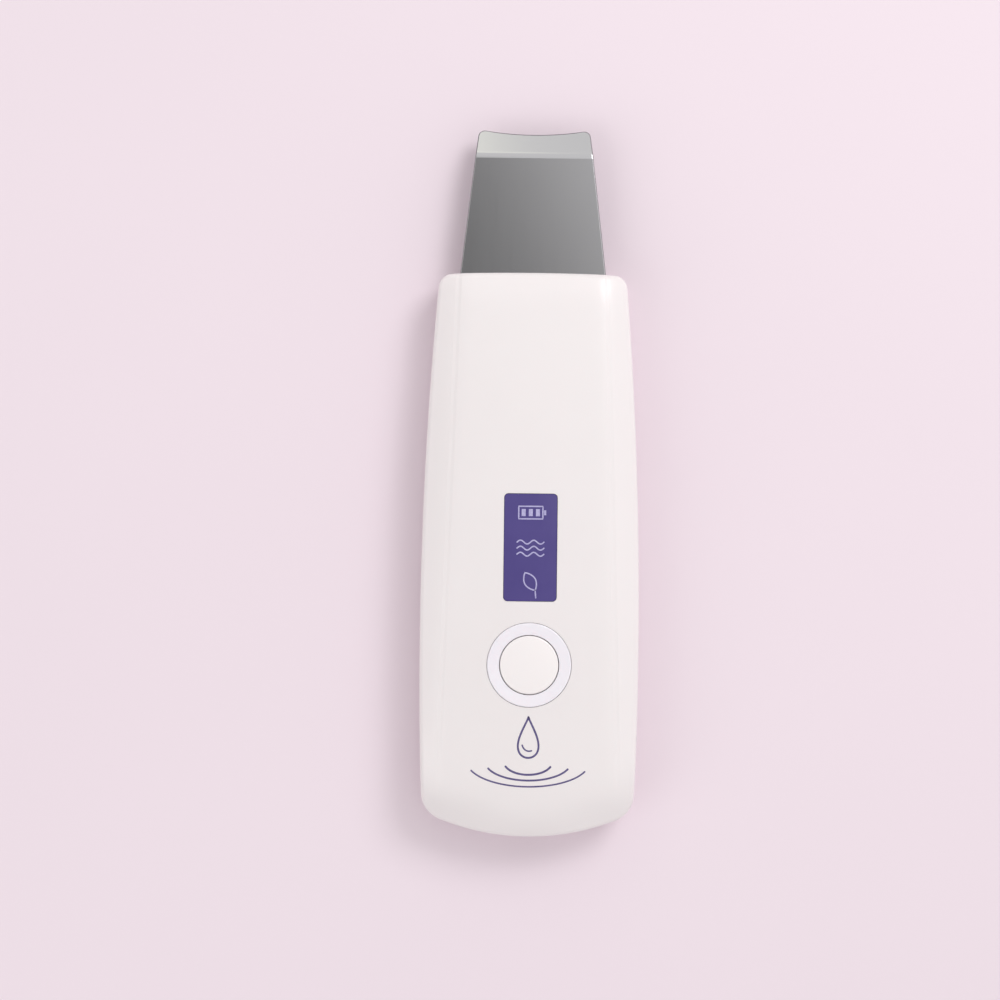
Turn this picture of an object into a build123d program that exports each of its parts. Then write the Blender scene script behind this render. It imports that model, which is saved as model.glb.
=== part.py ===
from build123d import *
import math
import os

# Skin scrubber: an ultrasonic facial spatula, lying on its back. Millimetres.
# +X is to the right, +Y runs along the handle to the blade tip, +Z is out of the front face.
# Z = 0 is the flat of the back, and Y = 0 is halfway between the blade tip and the charging end.

# Overall size
LENGTH = 160.0
BLADE_REACH = 32.8
TIP_Y = LENGTH / 2
END_Y = -LENGTH / 2
TOP_Y = TIP_Y - BLADE_REACH
FRONT_Z = 17.0

# Plan view of the handle: long side arcs, a bowed top edge and a round charging end
MAX_HALF_WIDTH = 24.65
WIDEST_Y = -36.0
SIDE_RADIUS = 960.0
TOP_BOW = 0.4
TOP_CORNER = 3.2
END_RADIUS = 55.0
END_CORNER_Y = -74.5
END_CORNER = 6.5

# Front face: a long gentle arch with two soft creases that part it from the side facets
CREST_Y = -25.0
ARCH_RADIUS = 930.0
CROWN_RADIUS = 400.0
CREASE_TOP_X = 16.65
CREASE_SPREAD = 0.0308
CREASE_SOFTNESS = 2.2
FACET_SLOPE = 0.5
FACET_SLOPE_END = 0.22
FACET_FADE_Y = (-74.0, -50.0)
TOP_ROLL_Y = 38.0
TOP_ROLL_RADIUS = 40.0
END_ROLL_DEPTH = 12.0
END_ROLL_RADIUS = 17.0

# Back face: flat in the middle, rolled up along the sides and both ends
BACK_SIDE_ROLL = 9.0
BACK_END_ROLL = 10.0
BACK_ROLL_RADIUS = 12.0
BACK_TOP_ROLL_Y = 24.0
BACK_TOP_ROLL_RADIUS = 165.0
FLAT_SINK = 0.04

# Shells
WALL = 1.8
SEAM_Z = 8.0
SEAM_GROOVE = 0.25
LIP_INSET = 1.0
LIP_HEIGHT = 1.0
FIT = 0.1
FRONT_RIM = 1.6
BACK_RIM = 2.0
SKY = 24.0
FAR = 40.0

# Screws that close the shells, driven up from recesses in the back
SHELL_SCREW_SPOTS = [(15.5, 18.0), (-15.5, 18.0), (17.2, -68.0), (-17.2, -68.0)]
FRONT_BOSS = 2.6
BACK_BOSS = 3.3
SCREW_SHELF_Z = 4.0
SCREW_RECESS = 2.3
SCREW_HEAD = (1.95, 1.3)
SHANK = 1.0
SHANK_PLAY = 0.15
SHANK_TIP_Z = 11.5
SHANK_HOLE_Z = 12.0
PLUG_TOP_Z = 2.6

# Power button and its ring
BUTTON_Y = -40.9
RING_OUTER = 9.45
RING_INNER = 6.74
RING_PROUD = 0.12
RING_DISH = 0.35
RING_EDGE = 0.3
RING_FLANGE = 10.8
RING_FLANGE_Z = (14.0, 14.75)
RING_POCKET = 8.4
RING_POCKET_TOP = 15.25
CAP_RADIUS = 6.56
CAP_PROUD = 0.02
CAP_DOME = 0.28
CAP_EDGE = 0.35
CAP_FLANGE = 8.0
CAP_FLANGE_Z = (14.45, 15.15)
CAP_STEM = 1.6
CAP_GAP = 0.05
RING_LED_REACH = 8.3

# Tact switch below the button
SWITCH_HALF = 3.0
SWITCH_TOP_Z = 14.0
SWITCH_COVER_Z = (12.8, 13.1)
SWITCH_WELL = 2.6
SWITCH_FLOOR = 0.3
PLUNGER = 1.7
PLUNGER_FLANGE = 2.3
PLUNGER_FLANGE_Z = (11.9, 12.7)
PLUNGER_FOOT_Z = 10.75
DOME_RADIUS = 2.4
DOME_TOP_Z = 10.65
DOME_CURVE = 5.0
DOME_SHEET = 0.1

# Display window
WINDOW_WIDTH = 11.8
WINDOW_Y = (-26.6, -2.6)
WINDOW_CORNER = 0.9
WINDOW_SINK = 0.06
WINDOW_FLANGE_Z = (13.9, 14.6)
WINDOW_FLANGE_MARGIN = 1.2
LIGHT_BOX_Y = (-27.6, -1.6)
LIGHT_BOX_WIDTH = 14.0
LIGHT_BOX_TOP_Z = 13.5
LIGHT_BOX_RIB = 0.4
LIGHT_CELLS = 5
FILM_THICK = 0.2
LIGHT_PITCH = (LIGHT_BOX_Y[1] - LIGHT_BOX_Y[0] - 1.0) / LIGHT_CELLS
LIGHT_ROWS = [LIGHT_BOX_Y[0] + 0.5 + LIGHT_PITCH * (n + 0.5) for n in range(LIGHT_CELLS)]

# Circuit board
BOARD_Z = (8.5, 9.7)
BOARD_Y = (-76.0, -1.0)
BOARD_WIDTH = 28.0
BOARD_SCREW_SPOTS = [(11.5, -68.0), (-11.5, -68.0), (11.5, -3.0), (-11.5, -3.0)]
BOARD_BOSS = 2.2
BOARD_HOLE = 1.0
SMALL_SHANK = 0.8
CAPACITOR_SIZE = (2.0, 1.3, 1.3)
CAPACITOR_SPOTS = [(-10.2, -30.0), (-10.2, -34.0), (10.2, -22.5), (10.2, -18.5), (-10.2, -18.0)]
RESISTOR_SIZE = (1.6, 0.8, 0.5)
RESISTOR_SPOTS = [(-10.5, -46.0), (-10.5, -48.5), (-10.5, -51.0), (4.0, -71.5), (1.5, -71.5),
                  (-10.2, -12.0), (10.2, -12.0), (10.2, -9.0)]
TRANSISTOR_SPOTS = [(10.5, -48.0), (10.5, -53.0)]
CONTROLLER = (-5.0, -60.0, 4.0, 10.0)
CHARGER = (6.0, -63.0, 4.0, 5.0)
CHIP_HEIGHT = 1.4
CHIP_LIFT = 0.1
INDUCTOR = (10.3, -31.0, 5.0, 5.0)
INDUCTOR_HEIGHT = 2.8

# Blade and its clamp
BLADE_THICK = 0.8
BLADE_Z = 8.0
BLADE_EDGE = 0.3
TIP_HALF = 12.6
TIP_DIP = 1.21
TIP_CORNER = 1.5
TIP_CORNER_LOSS = 0.261
BEND_Y = 74.15
BEND_ANGLE = 25.0
BEND_RADIUS = 3.0
NECK_HALF = 16.88
NECK_Y = (31.0, 44.0)
TAIL_HALF = 11.0
TAIL_Y = (2.0, 27.0)
BLADE_CORNER = 2.0
CLAMP_SPOTS = [(12.5, 36.0), (-12.5, 36.0)]
CLAMP_WIDTH = 31.0
CLAMP_Y = (33.0, 39.0)
CLAMP_HOLE = 1.1
CLAMP_BOSS = 3.0
PAD_THICK = 1.2
CLAMP_BAR_THICK = 1.6
SLOT_WIDTH = 35.2
SLOT_Z = (6.4, 9.6)
SEAL_BEAD = 0.8
BLADE_UNDER = BLADE_Z - BLADE_THICK / 2
BLADE_TOP = BLADE_Z + BLADE_THICK / 2
PAD_UNDER = BLADE_UNDER - PAD_THICK
PAD_TOP = BLADE_TOP + PAD_THICK
BAR_TOP = PAD_TOP + CLAMP_BAR_THICK

# Transducer
DISC_RADIUS = 10.0
DISC_THICK = 2.0
BOND_THICK = 0.1
DISC_Y = 14.0
DISC_UNDER = BLADE_UNDER - BOND_THICK - DISC_THICK

# Battery
CELL_SIZE = (30.0, 48.0, 5.2)
CELL_Y = -40.0
TAPE_THICK = 0.5
PROTECTION_Z = (4.0, 4.8)

# Contact plate on the back
PLATE_SIZE = (12.0, 46.0, 0.6)
PLATE_Y = -17.0
PLATE_FACE_Z = 0.15
TAB_Y = 1.0
TAB_TOP_Z = 3.4

# Charging socket
USB_SIZE = (7.5, 5.3, 2.6)
USB_FRONT_Y = -79.2
USB_SHEET = 0.3
USB_CORNER = 0.7
USB_BACK_Y = USB_FRONT_Y + USB_SIZE[1]
PORT_SIZE = (8.4, 3.4)

# Insulated wires, as the corners of their runs
WIRE_RADIUS = 0.45
LEADS = {
    "battery_lead_red": [(-5.0, -14.5, PROTECTION_Z[1]), (-5.0, -14.5, 6.6), (-5.0, -10.0, 7.0),
                         (-5.0, -10.0, BOARD_Z[0])],
    "battery_lead_black": [(-3.2, -14.5, PROTECTION_Z[1]), (-3.2, -14.5, 6.6),
                           (-3.2, -10.0, 7.0), (-3.2, -10.0, BOARD_Z[0])],
    "transducer_lead_red": [(-8.0, -3.4, BOARD_Z[0]), (-8.0, -3.4, 4.4), (-4.0, 9.0, 4.0),
                            (-4.0, 9.0, DISC_UNDER)],
    "transducer_lead_black": [(-5.6, -3.4, BOARD_Z[0]), (-5.6, -3.4, 6.3), (-8.6, 3.0, 6.1),
                              (-8.6, 3.0, BLADE_UNDER)],
    "contact_lead": [(0.0, TAB_Y - 0.3, 2.8), (0.0, -1.4, 2.8), (-1.6, -2.6, 5.4),
                     (-1.6, -2.6, BOARD_Z[0])],
}


def span_box(x, y, z):
    """A box between two corners, each axis given as (low, high)."""
    size = [pair[1] - pair[0] for pair in (x, y, z)]
    return Pos(x[0], y[0], z[0]) * Box(*size, align=(Align.MIN, Align.MIN, Align.MIN))


def upright(radius, x, y, z):
    """A vertical cylinder from z[0] to z[1]."""
    stand = (Align.CENTER, Align.CENTER, Align.MIN)
    return Pos(x, y, z[0]) * Cylinder(radius, z[1] - z[0], align=stand)


def slab(width, y, z, corner):
    """A flat plate centred on X with rounded corners."""
    sketch = RectangleRounded(width, y[1] - y[0], corner)
    return extrude(Pos(0, (y[0] + y[1]) / 2, z[0]) * sketch, z[1] - z[0])


def joined(pieces):
    """One compound of separate solids, for pieces that share a node."""
    solids = []
    for piece in pieces:
        solids.extend(piece.solids())
    return Compound(children=solids)


def soft_ramp(t, softness):
    """0 below -softness, t above +softness, and a parabola between."""
    if t <= -softness:
        return 0.0
    if t >= softness:
        return t
    return (t + softness) ** 2 / (4 * softness)


def smooth_step(t):
    t = min(1.0, max(0.0, t))
    return t * t * (3 - 2 * t)


def half_width(y):
    return MAX_HALF_WIDTH - (y - WIDEST_Y) ** 2 / (2 * SIDE_RADIUS)


def end_depth(x, y):
    """Distance inwards from the round charging end."""
    if y > END_Y + END_RADIUS:
        return END_RADIUS
    return END_RADIUS - math.hypot(x, y - (END_Y + END_RADIUS))


def crease_x(y):
    return CREASE_TOP_X + (TOP_Y - y) * CREASE_SPREAD


def front_height(x, y):
    arch = FRONT_Z - (y - CREST_Y) ** 2 / (2 * ARCH_RADIUS)
    crown = x * x / (2 * CROWN_RADIUS)
    fade = smooth_step((y - FACET_FADE_Y[0]) / (FACET_FADE_Y[1] - FACET_FADE_Y[0]))
    slope = FACET_SLOPE_END + (FACET_SLOPE - FACET_SLOPE_END) * fade
    facet = slope * soft_ramp(abs(x) - crease_x(y), CREASE_SOFTNESS)
    top_roll = max(0.0, y - TOP_ROLL_Y) ** 2 / (2 * TOP_ROLL_RADIUS)
    end_roll = max(0.0, END_ROLL_DEPTH - end_depth(x, y)) ** 2 / (2 * END_ROLL_RADIUS)
    return arch - crown - facet - top_roll - end_roll


def back_height(x, y):
    """Flat in the middle, with parabolas that rise to the sides and both ends."""
    side = max(0.0, abs(x) - (half_width(y) - BACK_SIDE_ROLL))
    end = max(0.0, BACK_END_ROLL - end_depth(x, y))
    top = max(0.0, y - BACK_TOP_ROLL_Y) ** 2 / (2 * BACK_TOP_ROLL_RADIUS)
    return (side ** 2 + end ** 2) / (2 * BACK_ROLL_RADIUS) + top


def ring_height(x, y):
    """The ring is proud of the front face at its rim and dished towards the button."""
    r2 = (x * x + (y - BUTTON_Y) ** 2) / RING_OUTER ** 2
    return front_height(x, y) + RING_PROUD - RING_DISH * (1 - r2)


def cap_height(x, y):
    """The button cap is a low dome."""
    r2 = (x * x + (y - BUTTON_Y) ** 2) / CAP_RADIUS ** 2
    return front_height(x, y) + CAP_PROUD + CAP_DOME * (1 - r2)


def sheet(height, y_span, reach, columns=25, rows=25):
    """A smooth face through a grid of heights. The columns lie at set parts of reach(y)."""
    grid = []
    for j in range(rows):
        y = y_span[0] + (y_span[1] - y_span[0]) * j / (rows - 1)
        places = [reach(y) * (2 * i / (columns - 1) - 1) for i in range(columns)]
        grid.append([(x, y, height(x, y)) for x in places])
    return Face.make_surface_from_array_of_points(grid, tol=0.005, min_deg=3, max_deg=3)


HANDLE_SPAN = (END_Y - 4.0, TOP_Y + 4.0)
BUTTON_REACH = 12.0
BUTTON_SPAN = (BUTTON_Y - BUTTON_REACH, BUTTON_Y + BUTTON_REACH)
FRONT_FACE = sheet(front_height, HANDLE_SPAN, lambda y: 1.5 * crease_x(y))
BACK_FACE = Pos(0, 0, -FLAT_SINK) * sheet(back_height, HANDLE_SPAN, lambda y: 1.12 * half_width(y))
RING_FACE = sheet(ring_height, BUTTON_SPAN, lambda y: BUTTON_REACH, 13, 13)
CAP_FACE = sheet(cap_height, BUTTON_SPAN, lambda y: BUTTON_REACH, 13, 13)


def below(face, drop=0.0):
    """Everything under a sheet that is lowered by drop."""
    return Solid.extrude(Pos(0, 0, -drop) * face, Vector(0, 0, -FAR))


def above(face, lift=0.0):
    """Everything over a sheet that is raised by lift."""
    return Solid.extrude(Pos(0, 0, lift) * face, Vector(0, 0, FAR))


def outline(inset=0.0):
    """The handle's plan view, moved inwards by inset."""
    top = TOP_Y - inset
    shoulder_y = top - TOP_BOW
    shoulder_x = half_width(shoulder_y) - inset
    middle = MAX_HALF_WIDTH - inset
    corner_x = half_width(END_CORNER_Y) - inset
    corner_y = END_Y + END_RADIUS - math.sqrt((END_RADIUS - inset) ** 2 - corner_x ** 2)
    right = ThreePointArc((shoulder_x, shoulder_y), (middle, WIDEST_Y), (corner_x, corner_y))
    end = ThreePointArc((corner_x, corner_y), (0, END_Y + inset), (-corner_x, corner_y))
    left = ThreePointArc((-corner_x, corner_y), (-middle, WIDEST_Y), (-shoulder_x, shoulder_y))
    shoulder = ThreePointArc((-shoulder_x, shoulder_y), (0, top), (shoulder_x, shoulder_y))
    plan = make_face([right, end, left, shoulder])
    plan = fillet([v for v in plan.vertices() if v.Y > 0], TOP_CORNER - 0.8 * inset)
    end_corners = [v for v in plan.vertices() if abs(v.Y - corner_y) < 0.001]
    return fillet(end_corners, END_CORNER - inset)


def plan_prism(inset, z):
    return extrude(Pos(0, 0, z[0]) * outline(inset), z[1] - z[0])


def running_edges(body, z):
    """Edges that run round a body between two heights, without the upright ones."""
    found = []
    for edge in body.edges():
        box = edge.bounding_box()
        is_upright = box.size.X < 0.5 and box.size.Y < 0.5
        if box.min.Z > z[0] and box.max.Z < z[1] and not is_upright:
            found.append(edge)
    return found


def blade_slot(y, grow=0.0):
    """The flat slot that the blade leaves the housing through."""
    height = SLOT_Z[1] - SLOT_Z[0] + 2 * grow
    sketch = RectangleRounded(SLOT_WIDTH + 2 * grow, height, 1.0 + grow)
    middle_z = (SLOT_Z[0] + SLOT_Z[1]) / 2
    place = Plane(origin=(0, y[0], middle_z), x_dir=(-1, 0, 0), z_dir=(0, 1, 0))
    return extrude(place * sketch, y[1] - y[0])


def port_opening():
    """The opening round the charging socket."""
    middle_z = BOARD_Z[0] - USB_SIZE[2] / 2
    place = Plane(origin=(0, END_Y - 1.0, middle_z), x_dir=(1, 0, 0), z_dir=(0, -1, 0))
    return extrude(place * RectangleRounded(*PORT_SIZE, 0.9), -5.0)


def make_front_shell():
    body = plan_prism(0.0, (SEAM_Z, SKY)) & below(FRONT_FACE)
    body = fillet(running_edges(body, (SEAM_Z + 0.4, SKY)), FRONT_RIM)
    body = chamfer(running_edges(body, (SEAM_Z - 0.01, SEAM_Z + 0.01)), SEAM_GROOVE)
    body -= plan_prism(WALL, (SEAM_Z - 1, SKY)) & below(FRONT_FACE, WALL)
    rebate_top = SEAM_Z + LIP_HEIGHT + FIT
    body -= plan_prism(LIP_INSET - FIT, (SEAM_Z - 1, rebate_top))
    roof = below(FRONT_FACE, WALL / 2)
    for x, y in SHELL_SCREW_SPOTS:
        body += upright(FRONT_BOSS, x, y, (SEAM_Z, SKY)) & roof
        body -= upright(SHANK, x, y, (SEAM_Z - 1, SHANK_HOLE_Z))
    for x, y in BOARD_SCREW_SPOTS:
        body += upright(BOARD_BOSS, x, y, (BOARD_Z[1], SKY)) & roof
        body -= upright(SMALL_SHANK, x, y, (BOARD_Z[1] - 1, SHANK_HOLE_Z + 1))
    body -= upright(RING_OUTER + 0.08, 0, BUTTON_Y, (BOARD_Z[1], SKY))
    hole_y = (WINDOW_Y[0] - FIT, WINDOW_Y[1] + FIT)
    body -= slab(WINDOW_WIDTH + 2 * FIT, hole_y, (BOARD_Z[1], SKY), WINDOW_CORNER + FIT)
    body -= blade_slot((TOP_Y - 5.0, TOP_Y + 2.0))
    body -= port_opening()
    return body


def make_back_shell():
    body = plan_prism(0.0, (0.0, SEAM_Z)) & above(BACK_FACE)
    body = fillet(running_edges(body, (0.5, SEAM_Z - 0.4)), BACK_RIM)
    body = chamfer(running_edges(body, (SEAM_Z - 0.01, SEAM_Z + 0.01)), SEAM_GROOVE)
    lip_base = SEAM_Z - 1.0
    body += plan_prism(LIP_INSET, (lip_base, SEAM_Z + LIP_HEIGHT))
    body -= plan_prism(WALL, (WALL, 20.0)) & above(BACK_FACE, WALL)
    floor = above(BACK_FACE, WALL / 2)
    for x, y in SHELL_SCREW_SPOTS:
        body += upright(BACK_BOSS, x, y, (0.0, SEAM_Z - FIT)) & floor
        body -= upright(SCREW_RECESS, x, y, (-1.0, SCREW_SHELF_Z))
        body -= upright(SHANK + SHANK_PLAY, x, y, (SCREW_SHELF_Z - 1, SHANK_HOLE_Z))
    rib_foot = 1.2
    body += span_box((-12.5, 12.5), (35.4, 36.6), (rib_foot, PAD_UNDER - 0.6))
    for x, y in CLAMP_SPOTS:
        body += upright(CLAMP_BOSS, x, y, (0.0, PAD_UNDER)) & floor
        body -= upright(SMALL_SHANK, x, y, (2.6, SHANK_HOLE_Z))
    cell_side = CELL_SIZE[0] / 2 + 0.3
    rib_z = (rib_foot, 5.0)
    for side in (-1, 1):
        rib = sorted((side * cell_side, side * (cell_side + 0.9)))
        body += span_box(rib, (CELL_Y - 12.0, CELL_Y + 12.0), rib_z)
    cell_end = CELL_Y - CELL_SIZE[1] / 2 - 0.3
    body += span_box((-10.0, 10.0), (cell_end - 1.0, cell_end), rib_z)
    recess_y = (PLATE_Y - PLATE_SIZE[1] / 2 - FIT, PLATE_Y + PLATE_SIZE[1] / 2 + FIT)
    recess_top = PLATE_FACE_Z + PLATE_SIZE[2]
    body -= slab(PLATE_SIZE[0] + 2 * FIT, recess_y, (-1.0, recess_top), 2.1)
    body -= span_box((-1.7, 1.7), (TAB_Y - 0.4, TAB_Y + 0.4), (0.0, 3.0))
    body -= blade_slot((TOP_Y - 5.0, TOP_Y + 2.0))
    body -= port_opening()
    return body


def cross_recess(x, y, z, size):
    """A small cross cut for a screwdriver, from z up."""
    bar = Pos(x, y, z) * Box(size, 0.45, 2.0, align=(Align.CENTER, Align.CENTER, Align.MIN))
    turned = Pos(x, y, z) * Rot(0, 0, 90) * Pos(-x, -y, -z) * bar
    return bar + turned


def screw_up(x, y, head_z, head_r, shank_r, tip_z):
    """A pan-head screw driven upwards, with its head below."""
    head = upright(head_r, x, y, head_z)
    head = fillet(head.edges().group_by(Axis.Z)[0], 0.4)
    shank = upright(shank_r, x, y, (head_z[1], tip_z))
    return head + shank - cross_recess(x, y, head_z[0] - 1.4, head_r * 1.2)


def make_shell_screws():
    head_r, head_tall = SCREW_HEAD
    head_z = (SCREW_SHELF_Z - head_tall, SCREW_SHELF_Z)
    screws = [screw_up(x, y, head_z, head_r, SHANK, SHANK_TIP_Z) for x, y in SHELL_SCREW_SPOTS]
    return joined(screws)


def make_screw_plugs():
    """Soft plugs that close the screw recesses and follow the back's surface."""
    outside = above(BACK_FACE, 0.1 + FLAT_SINK)
    plugs = []
    for x, y in SHELL_SCREW_SPOTS:
        plugs.append(upright(SCREW_RECESS - 0.06, x, y, (0.0, PLUG_TOP_Z)) & outside)
    return joined(plugs)


def make_button_ring():
    neck = upright(RING_OUTER, 0, BUTTON_Y, (RING_FLANGE_Z[0], SKY)) & below(RING_FACE)
    neck = fillet(running_edges(neck, (RING_FLANGE_Z[0] + 1, SKY)), RING_EDGE)
    ring = neck + upright(RING_FLANGE, 0, BUTTON_Y, RING_FLANGE_Z)
    ring -= upright(RING_POCKET, 0, BUTTON_Y, (RING_FLANGE_Z[0] - 1, RING_POCKET_TOP))
    return ring - upright(RING_INNER, 0, BUTTON_Y, (RING_FLANGE_Z[0], SKY))


def make_power_button():
    cap = upright(CAP_RADIUS, 0, BUTTON_Y, (CAP_FLANGE_Z[0], SKY)) & below(CAP_FACE)
    cap = fillet(running_edges(cap, (CAP_FLANGE_Z[1], SKY)), CAP_EDGE)
    flange = upright(CAP_FLANGE, 0, BUTTON_Y, CAP_FLANGE_Z)
    stem = upright(CAP_STEM, 0, BUTTON_Y, (SWITCH_TOP_Z + CAP_GAP, CAP_FLANGE_Z[0]))
    return cap + flange + stem


def make_display_window():
    lens = slab(WINDOW_WIDTH, WINDOW_Y, (WINDOW_FLANGE_Z[0], SKY), WINDOW_CORNER)
    lens &= below(FRONT_FACE, WINDOW_SINK)
    margin = WINDOW_FLANGE_MARGIN
    flange_y = (WINDOW_Y[0] - margin, WINDOW_Y[1] + margin)
    return lens + slab(WINDOW_WIDTH + 2 * margin, flange_y, WINDOW_FLANGE_Z, 1.0)


def make_window_tape():
    """The foam frame between the window's flange and the inside of the front shell."""
    out, gap = WINDOW_FLANGE_MARGIN - 0.1, 0.3
    outer = slab(WINDOW_WIDTH + 2 * out, (WINDOW_Y[0] - out, WINDOW_Y[1] + out),
                 (WINDOW_FLANGE_Z[1], SKY), WINDOW_CORNER + FIT)
    inner = slab(WINDOW_WIDTH + 2 * gap, (WINDOW_Y[0] - gap, WINDOW_Y[1] + gap),
                 (WINDOW_FLANGE_Z[1] - 1, SKY), WINDOW_CORNER)
    return (outer - inner) & below(FRONT_FACE, WALL + 0.02)


def make_contact_plate():
    plate_y = (PLATE_Y - PLATE_SIZE[1] / 2, PLATE_Y + PLATE_SIZE[1] / 2)
    top = PLATE_FACE_Z + PLATE_SIZE[2]
    plate = slab(PLATE_SIZE[0], plate_y, (PLATE_FACE_Z, top), 2.0)
    plate = fillet(plate.edges().group_by(Axis.Z)[0], 0.2)
    return plate + span_box((-1.5, 1.5), (TAB_Y - 0.3, TAB_Y + 0.3), (top - 0.1, TAB_TOP_Z))


def blade_plan():
    """The blade from above: a hidden tail, a clamped neck and the tapered spatula."""
    ear = TIP_Y + TIP_CORNER_LOSS
    right = Polyline((TAIL_HALF, TAIL_Y[0]), (TAIL_HALF, TAIL_Y[1]), (NECK_HALF, NECK_Y[0]),
                     (NECK_HALF, NECK_Y[1]), (TIP_HALF, ear))
    tip = ThreePointArc((TIP_HALF, ear), (0, ear - TIP_DIP), (-TIP_HALF, ear))
    left = Polyline((-TIP_HALF, ear), (-NECK_HALF, NECK_Y[1]), (-NECK_HALF, NECK_Y[0]),
                    (-TAIL_HALF, TAIL_Y[1]), (-TAIL_HALF, TAIL_Y[0]))
    tail = Line((-TAIL_HALF, TAIL_Y[0]), (TAIL_HALF, TAIL_Y[0]))
    plan = make_face([right, tip, left, tail])
    plan = fillet([v for v in plan.vertices() if v.Y > TIP_Y - 1], TIP_CORNER)
    return fillet([v for v in plan.vertices() if v.Y < NECK_Y[1] + 1], BLADE_CORNER)


def blade_profile():
    """The blade from the side: flat, then bent towards the back near the tip."""
    half = BLADE_THICK / 2
    angle = math.radians(BEND_ANGLE)
    shift = half * math.tan(angle / 2)
    far = TIP_Y + 4.0
    upper_bend = (BEND_Y + shift, BLADE_Z + half)
    lower_bend = (BEND_Y - shift, BLADE_Z - half)
    upper_far = (far, upper_bend[1] - (far - upper_bend[0]) * math.tan(angle))
    lower_far = (far, lower_bend[1] - (far - lower_bend[0]) * math.tan(angle))
    sketch = make_face(Polyline((-5, BLADE_Z - half), lower_bend, lower_far, upper_far,
                                upper_bend, (-5, BLADE_Z + half), close=True))
    upper = [v for v in sketch.vertices() if abs(v.X - upper_bend[0]) < 0.01]
    sketch = fillet(upper, BEND_RADIUS + half)
    lower = [v for v in sketch.vertices() if abs(v.X - lower_bend[0]) < 0.01]
    return fillet(lower, BEND_RADIUS - half)


def make_scrubber_blade():
    """A bent sheet cut to the plan, with every edge rounded over."""
    bent = extrude(Plane.YZ * blade_profile(), 20.0, both=True)
    blade = extrude(blade_plan(), SKY) & bent
    rims = []
    for edge in blade.edges():
        box = edge.bounding_box()
        crosses = box.size.Y < 0.01 and box.size.X > 20.0 and box.max.Y > TOP_Y
        is_upright = box.size.X < 0.01 and box.size.Y < 0.01
        if not crosses and not is_upright:
            rims.append(edge)
    blade = fillet(rims, BLADE_EDGE)
    for x, y in CLAMP_SPOTS:
        blade -= upright(CLAMP_HOLE, x, y, (0.0, SKY))
    return blade


def make_blade_seal(blade):
    """The silicone sleeve that fills the slot round the blade, with a bead inside the wall."""
    sleeve = blade_slot((TOP_Y - 4.0, TOP_Y - 0.9))
    bead = blade_slot((TOP_Y - 4.0, TOP_Y - 2.6), SEAL_BEAD)
    return sleeve + bead - blade


def clamp_layer(z):
    """One flat layer of the clamp, with its two screw holes."""
    layer = slab(CLAMP_WIDTH, CLAMP_Y, z, 1.0)
    for x, y in CLAMP_SPOTS:
        layer -= upright(CLAMP_HOLE, x, y, (z[0] - 1, z[1] + 1))
    return layer


def make_clamp_screws():
    head_r, head_tall = SCREW_HEAD
    screws = []
    for x, y in CLAMP_SPOTS:
        head = upright(head_r, x, y, (BAR_TOP, BAR_TOP + head_tall))
        head = fillet(head.edges().group_by(Axis.Z)[-1], 0.35)
        screw = head + upright(SMALL_SHANK, x, y, (3.0, BAR_TOP))
        screws.append(screw - cross_recess(x, y, BAR_TOP + 0.7, 2.2))
    return joined(screws)


def make_main_board():
    board = slab(BOARD_WIDTH, BOARD_Y, BOARD_Z, 2.0)
    for x, y in BOARD_SCREW_SPOTS:
        board -= upright(BOARD_HOLE, x, y, (BOARD_Z[0] - 1, BOARD_Z[1] + 1))
    return board


def make_board_screws():
    head_z = (BOARD_Z[0] - 1.0, BOARD_Z[0])
    tip_z = SHANK_HOLE_Z + 0.5
    return joined([screw_up(x, y, head_z, 1.7, SMALL_SHANK, tip_z) for x, y in BOARD_SCREW_SPOTS])


def switch_block(z):
    """A square block of the switch, centred under the button."""
    y = (BUTTON_Y - SWITCH_HALF, BUTTON_Y + SWITCH_HALF)
    return span_box((-SWITCH_HALF, SWITCH_HALF), y, z)


def make_switch_base():
    base = switch_block((BOARD_Z[1], SWITCH_COVER_Z[0]))
    base = chamfer(base.edges().filter_by(Axis.Z), 0.4)
    well_z = (BOARD_Z[1] + SWITCH_FLOOR, SWITCH_COVER_Z[1])
    return base - upright(SWITCH_WELL, 0, BUTTON_Y, well_z)


def make_switch_cover():
    return switch_block(SWITCH_COVER_Z) - upright(PLUNGER + 0.15, 0, BUTTON_Y, (0.0, SKY))


def make_switch_plunger():
    flange = upright(PLUNGER_FLANGE, 0, BUTTON_Y, PLUNGER_FLANGE_Z)
    return upright(PLUNGER, 0, BUTTON_Y, (PLUNGER_FOOT_Z, SWITCH_TOP_Z)) + flange


def make_switch_dome():
    """The thin snap disc that springs the plunger back."""
    centre_z = DOME_TOP_Z - DOME_CURVE
    outer = Pos(0, BUTTON_Y, centre_z) * Sphere(DOME_CURVE)
    inner = Pos(0, BUTTON_Y, centre_z - DOME_SHEET) * Sphere(DOME_CURVE)
    foot_z = BOARD_Z[1] + SWITCH_FLOOR
    return (outer - inner) & upright(DOME_RADIUS, 0, BUTTON_Y, (foot_z, SWITCH_TOP_Z))


def make_switch_legs():
    legs = []
    for side in (-1, 1):
        for y in (BUTTON_Y - 2.2, BUTTON_Y + 2.2):
            x = sorted((side * SWITCH_HALF, side * (SWITCH_HALF + 1.3)))
            legs.append(span_box(x, (y - 0.4, y + 0.4), (BOARD_Z[1], BOARD_Z[1] + 0.3)))
    return joined(legs)


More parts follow.
